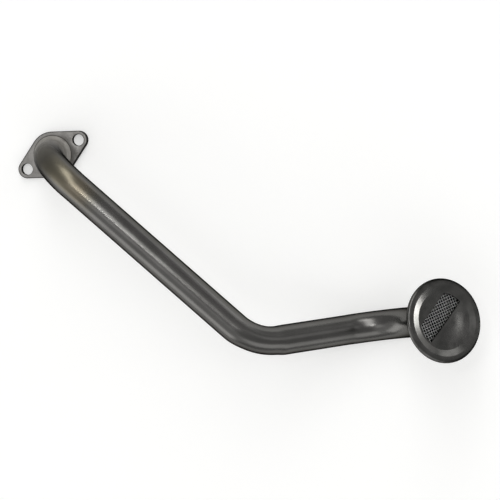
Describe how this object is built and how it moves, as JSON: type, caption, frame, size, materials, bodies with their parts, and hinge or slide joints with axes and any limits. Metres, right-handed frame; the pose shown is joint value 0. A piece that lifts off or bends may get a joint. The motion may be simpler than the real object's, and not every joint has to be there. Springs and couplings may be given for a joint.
{
  "type": "oil pickup tube",
  "caption": "Engine oil pickup: bent steel suction tube with a bolted flange at one end and a bell with a screened slot at the other.",
  "frame": {"origin": "centre of the tube's hole on the flange's mounting face", "axes": "+Z out of the flange along the start of the tube, X through the two bolt holes, the tube runs off towards -Y"},
  "size_m": [0.253, 0.29, 0.0729],
  "materials": {
    "flange_steel": "satin",
    "tube_steel": "oiled, half gloss",
    "braze": "dull",
    "bell_steel": "oiled, half gloss",
    "screen_wire": "drawn wire",
    "cover_steel": "oiled, half gloss"
  },
  "bodies": {
    "root": {"mounting_flange": "flange_steel", "suction_tube": "tube_steel", "flange_braze_fillet": "braze", "pickup_bell": "bell_steel", "bell_braze_fillet": "braze", "wire_screen": "screen_wire", "screen_cover": "cover_steel"}
  },
  "joints": []
}
